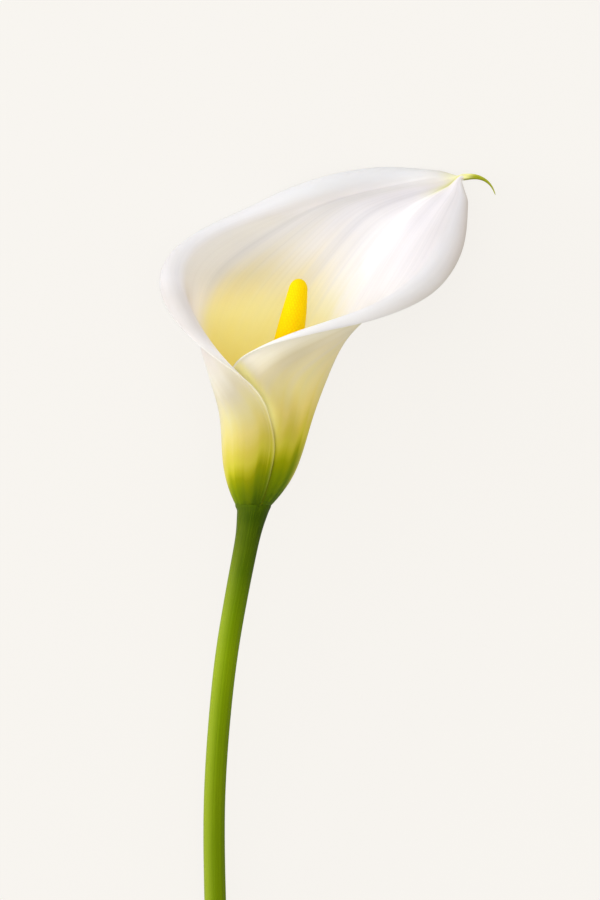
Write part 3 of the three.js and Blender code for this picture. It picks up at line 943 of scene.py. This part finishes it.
def green_stem_finish():
    finish, tree, shader = new_finish(
        "waxy green stem", Subsurface_Weight=0.1, Subsurface_Scale=0.0015,
        Subsurface_Radius=(0.8, 1.0, 0.1), Specular_IOR_Level=0.06, IOR=1.4,
    )
    turn = add(tree, "ShaderNodeUVMap", uv_map="skin").outputs[0]
    round_it, up_it, _ = add(tree, "ShaderNodeSeparateXYZ", {"Vector": turn}).outputs
    height, _ = height_up_the_flower(tree)
    lines = {"Across": round_it, "Along": up_it, "Side": 0.5}
    veins = use_group(tree, VEINS, {**lines, "Count": 60.0, "Wander": 5.0})
    cells = use_group(tree, CELLS, {"Cell": 2200.0, "Patch": 30.0})
    # how far round from the lit side, which takes the painted light and highlight
    one_way = distance_from(tree, LIT_SIDE, round_it)
    other_way = calculate(tree, "SUBTRACT", 1.0, one_way)
    marks = {
        "height": height, "broad": veins["Broad"], "fine": veins["Fine"], "patches": cells["Patches"],
        "off_lit_side": calculate(tree, "MINIMUM", one_way, other_way),
    }
    colour = ramp(tree, calculate(tree, "MULTIPLY_ADD", height, 1 / STEM_LENGTH, 1.0), STEM_COLOURS)
    colour = tint_all(tree, marks, colour, STEM_TINTS)

    cut = fade(tree, height, CUT_FROM - STEM_LENGTH, CUT_FULL - STEM_LENGTH)
    where = add(tree, "ShaderNodeTexCoord").outputs["Object"]
    pores = add(tree, "ShaderNodeTexVoronoi", {"Vector": where, "Scale": PORES}).outputs["Distance"]
    colour = blend_colours(tree, cut, colour, ramp(tree, pores, FLESH_COLOURS))

    relief = calculate(tree, "MULTIPLY_ADD", cells["Grain"], GRAIN_IN_STEM, veins["Relief"])
    relief = calculate(tree, "MULTIPLY_ADD", calculate(tree, "MULTIPLY", pores, cut), PORES_IN_CUT, relief)
    normal = bump(tree, relief, RELIEF_DEPTH, strength=0.6)
    rough = fade(tree, cells["Patches"], *PATCHES_SEEN, *STEM_ROUGHNESS)
    link_sockets(tree, shader, Base_Color=colour, Roughness=rough, Normal=normal)
    return finish


# The yellow spadix's finish: from between the florets to their tops, with paler patches and grains on them.
DOME_COLOURS = ((0.0, (252, 178, 0)), (0.45, (255, 202, 0)), (1.0, (255, 220, 0)))
SPADIX_TINTS = (
    ("MIX", (255, 206, 0), ("patches", 0.35, 0.7, 0, 0.3)),
    ("MIX", (255, 222, 10), ("grain", 0.5, 0.1, 0, 0.25)),
)
GRAIN_DEPTH = 0.00012


def yellow_spadix_finish():
    finish, tree, shader = new_finish(
        "powdery yellow spadix", Roughness=0.7, Subsurface_Weight=0.4, Subsurface_Scale=0.002,
        Subsurface_Radius=(1.0, 0.8, 0.1), Specular_IOR_Level=0.05,
    )
    cells = use_group(tree, CELLS, {"Cell": 2600.0, "Patch": 90.0})
    marks = read_marks(tree, ("dome",))
    marks["grain"] = cells["Grain"]
    marks["patches"] = cells["Patches"]
    colour = tint_all(tree, marks, ramp(tree, marks["dome"], DOME_COLOURS), SPADIX_TINTS)
    normal = bump(tree, cells["Grain"], GRAIN_DEPTH, strength=0.6)
    link_sockets(tree, shader, Base_Color=colour, Normal=normal)
    return finish


# Nothing on the flower moves, so the three pieces share the one body.
for piece, node, finish in (
    (spathe, "spathe", white_leaf_finish()),
    (stem, "stem", green_stem_finish()),
    (spadix, "spadix", yellow_spadix_finish()),
):
    piece.data.materials.append(finish)
    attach(piece, "root")
    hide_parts(node)

# The studio, in metres: a pale table that glows a little, and more as the camera sees it.
FLOOR_SIZE = 12.0
FLOOR_SHADE = (0.08, 0.079, 0.0755, 1.0)
FLOOR_GLOW = 0.427
FLOOR_GLOW_SEEN = 0.487
build = bmesh.new()
bmesh.ops.create_grid(build, x_segments=2, y_segments=2, size=FLOOR_SIZE / 2)
studio_floor = linked_piece("studio_floor", build)
floor_finish, floor_tree, floor_shader = new_finish(
    "pale studio floor", Base_Color=FLOOR_SHADE, Roughness=1.0, Specular_IOR_Level=0.0,
    Emission_Color=plain_colour(246, 243, 238),
)
seen = add(floor_tree, "ShaderNodeLightPath").outputs["Is Camera Ray"]
glow = calculate(floor_tree, "MULTIPLY_ADD", seen, FLOOR_GLOW_SEEN, FLOOR_GLOW)
link_sockets(floor_tree, floor_shader, Emission_Strength=glow)
studio_floor.data.materials.append(floor_finish)

# The walls round it are pale, and brighter to the left than to the right.
LEFT_WALL = 1.22
RIGHT_WALL = 0.54
WALL_SPAN = (-0.9, 0.8)
WALL_COLOUR = (1.0, 0.982, 0.976, 1.0)
world = bpy.data.worlds.new("studio")
bpy.context.scene.world = world
world.use_nodes = True
world_tree = world.node_tree
walls = world_tree.nodes["Background"]
walls.inputs["Color"].default_value = WALL_COLOUR
direction = add(world_tree, "ShaderNodeTexCoord").outputs["Generated"]
to_the_right = add(world_tree, "ShaderNodeSeparateXYZ", {"Vector": direction}).outputs["X"]
brightness = fade(world_tree, to_the_right, *WALL_SPAN, LEFT_WALL, RIGHT_WALL)
link_sockets(world_tree, walls, Strength=brightness)

# Four square soft lights, all aimed at one spot in the bloom: place round the foot, size, power, colour.
NEUTRAL = (1.0, 0.99, 0.985)
WARM = (1.0, 0.94, 0.86)
LIT_SPOT = Vector((0.02, 0.06, 0.0))
LIGHTS = (
    ("key_left", (-2.7, 0.3, 0.9), 0.9, 21.2, NEUTRAL),
    ("light_from_the_top", (-0.2, 2.7, 1.1), 1.6, 12.5, NEUTRAL),
    ("light_above", (0.0, 0.1, 3.0), 1.6, 18.1, NEUTRAL),
    ("fill_right", (2.7, 0.0, 0.9), 1.6, 4.0, WARM),
)
for name, place, size, power, colour in LIGHTS:
    light = bpy.data.lights.new(name, "AREA")
    light.shape = "SQUARE"
    light.size = size
    light.energy = power
    light.color = colour
    lamp = bpy.data.objects.new(name, light)
    lamp.location = FOOT * MM + Vector(place)
    lamp.rotation_euler = (LIT_SPOT - Vector(place)).to_track_quat("-Z", "Y").to_euler()
    bpy.context.scene.collection.objects.link(lamp)

# The camera looks straight down at the flower, 2 m above it, at the middle of the picture.
CAMERA_PLACE = Vector((0.0192, 0.022, 2.0))
FRAME_HEIGHT = 0.36
SENSOR = 24.0
camera_data = bpy.data.cameras.new("camera_above")
camera_data.sensor_fit = "VERTICAL"
camera_data.sensor_height = SENSOR
camera_data.lens = SENSOR * CAMERA_PLACE.z / FRAME_HEIGHT
camera = bpy.data.objects.new("camera_above", camera_data)
camera.location = FOOT * MM + CAMERA_PLACE
bpy.context.scene.collection.objects.link(camera)
bpy.context.scene.camera = camera
bpy.context.scene.view_settings.view_transform = "Standard"
